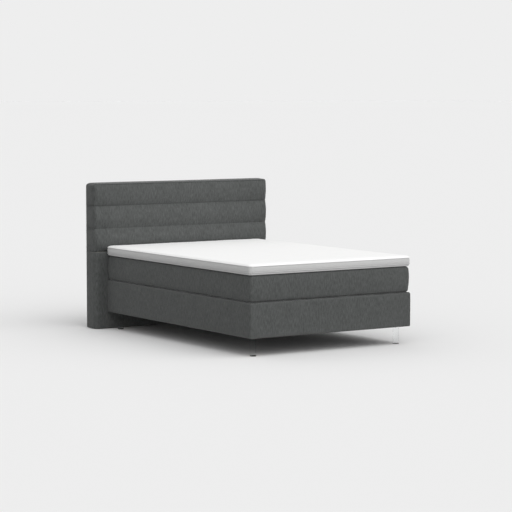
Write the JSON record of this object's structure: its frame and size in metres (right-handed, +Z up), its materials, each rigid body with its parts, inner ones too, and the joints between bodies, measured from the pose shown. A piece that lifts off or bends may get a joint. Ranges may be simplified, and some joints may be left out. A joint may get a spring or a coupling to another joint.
{
  "type": "box spring bed",
  "caption": "Box spring bed: upholstered sprung base on clear legs, sprung mattress, white topper and a floor-standing headboard with padded horizontal channels.",
  "frame": {"origin": "on the floor, under the middle of the whole bed's box", "axes": "+Z up; +Y from the foot end to the headboard, along the bed's length; +X to the right for someone who looks from the foot end to the headboard"},
  "size_m": [1.61, 2.201, 1.14],
  "materials": {
    "grey_fabric": "dark grey woven melange upholstery fabric",
    "white_knit": "white knitted ticking, ribbed on the border",
    "black_cloth": "thin black non-woven cloth",
    "clear_acrylic": "clear polished acrylic",
    "black_plastic": "black moulded plastic",
    "timber": "sawn pine",
    "plywood": "plywood sheet",
    "foam": "upholstery foam",
    "spring_cloth": "non-woven spring pockets",
    "steel": "zinc plated steel"
  },
  "bodies": {
    "bed_frame": {"base_beam": "timber", "base_block_foot_left": "timber", "base_block_foot_right": "timber", "base_block_head_left": "timber", "base_block_head_right": "timber", "base_board_foot": "timber", "base_board_head": "timber", "base_board_left": "timber", "base_board_right": "timber", "base_dust_cover": "black_cloth", "base_foam": "foam", "base_side_cover": "grey_fabric", "base_slat_1": "timber", "base_slat_2": "timber", "base_slat_3": "timber", "base_slat_4": "timber", "base_slat_5": "timber", "base_springs": "spring_cloth", "base_top_cloth": "black_cloth", "headboard_back_cloth": "black_cloth", "headboard_bolt_left": "steel", "headboard_bolt_right": "steel", "headboard_channel_lower": "grey_fabric", "headboard_channel_middle": "grey_fabric", "headboard_channel_top": "grey_fabric", "headboard_glide_left": "black_plastic", "headboard_glide_right": "black_plastic", "headboard_lower_cover": "grey_fabric", "headboard_lower_foam": "foam", "headboard_panel": "plywood", "headboard_post_left": "timber", "headboard_post_right": "timber", "headboard_rail_bolt": "timber", "headboard_rail_bottom": "timber", "headboard_rail_top": "timber", "headboard_upper_foam": "foam", "leg_bolt_foot_left": "steel", "leg_bolt_foot_right": "steel", "leg_bolt_head_left": "steel", "leg_bolt_head_right": "steel", "leg_foot_left": "clear_acrylic", "leg_foot_right": "clear_acrylic", "leg_glide_foot_left": "black_plastic", "leg_glide_foot_right": "black_plastic", "leg_glide_head_left": "black_plastic", "leg_glide_head_right": "black_plastic", "leg_head_left": "clear_acrylic", "leg_head_right": "clear_acrylic"},
    "mattress": {"mattress_base_cloth": "grey_fabric", "mattress_cover": "grey_fabric", "mattress_edge_foam": "foam", "mattress_lower_foam": "foam", "mattress_springs": "spring_cloth", "mattress_upper_foam": "foam"},
    "topper": {"topper_base_cloth": "white_knit", "topper_cover": "white_knit", "topper_foam": "foam", "topper_lower_piping": "white_knit", "topper_upper_piping": "white_knit"}
  },
  "joints": [
    {"name": "mattress_lift", "type": "slide", "parent": "bed_frame", "child": "mattress", "axis": [0, 0, 1], "range_m": [0, 0.25]},
    {"name": "topper_lift", "type": "slide", "parent": "mattress", "child": "topper", "axis": [0, 0, 1], "range_m": [0, 0.2]}
  ]
}
